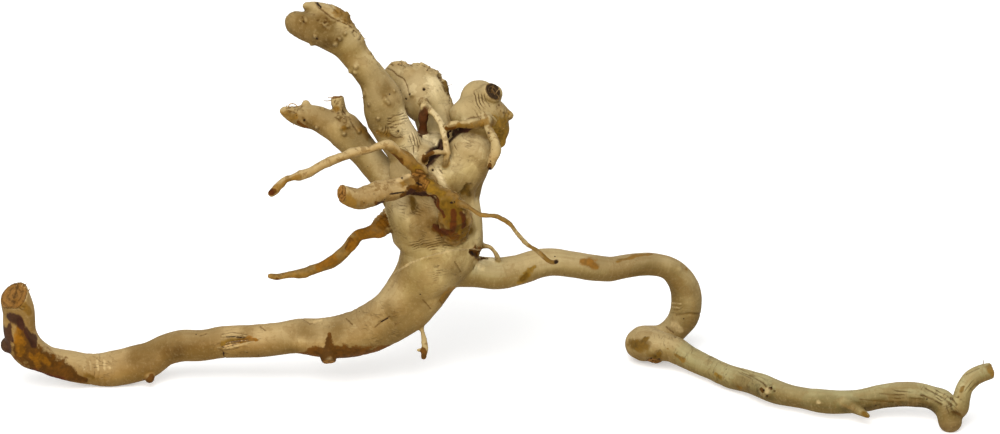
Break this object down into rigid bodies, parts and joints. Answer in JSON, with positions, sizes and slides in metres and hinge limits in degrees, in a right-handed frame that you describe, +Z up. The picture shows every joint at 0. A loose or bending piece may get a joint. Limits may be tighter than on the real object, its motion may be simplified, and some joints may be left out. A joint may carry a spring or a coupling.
{
  "type": "piece of driftwood",
  "caption": "Debarked root driftwood: a thick trunk with a knobbly forked crown and fine side twigs, standing on two long crooked roots.",
  "frame": {"origin": "middle of the bounding box at the level that the three low points rest on", "axes": "+X along the two long roots, from the thick cut root end to the thin forked end; +Z up through the crown; -Y faces the viewer of the picture"},
  "size_m": [0.4436, 0.1038, 0.1777],
  "materials": {
    "pale_wood": "dry, debarked, finely wrinkled pale tan wood with brown bark remnants and dark stains"
  },
  "bodies": {
    "root": {"driftwood": "pale_wood"}
  },
  "joints": []
}
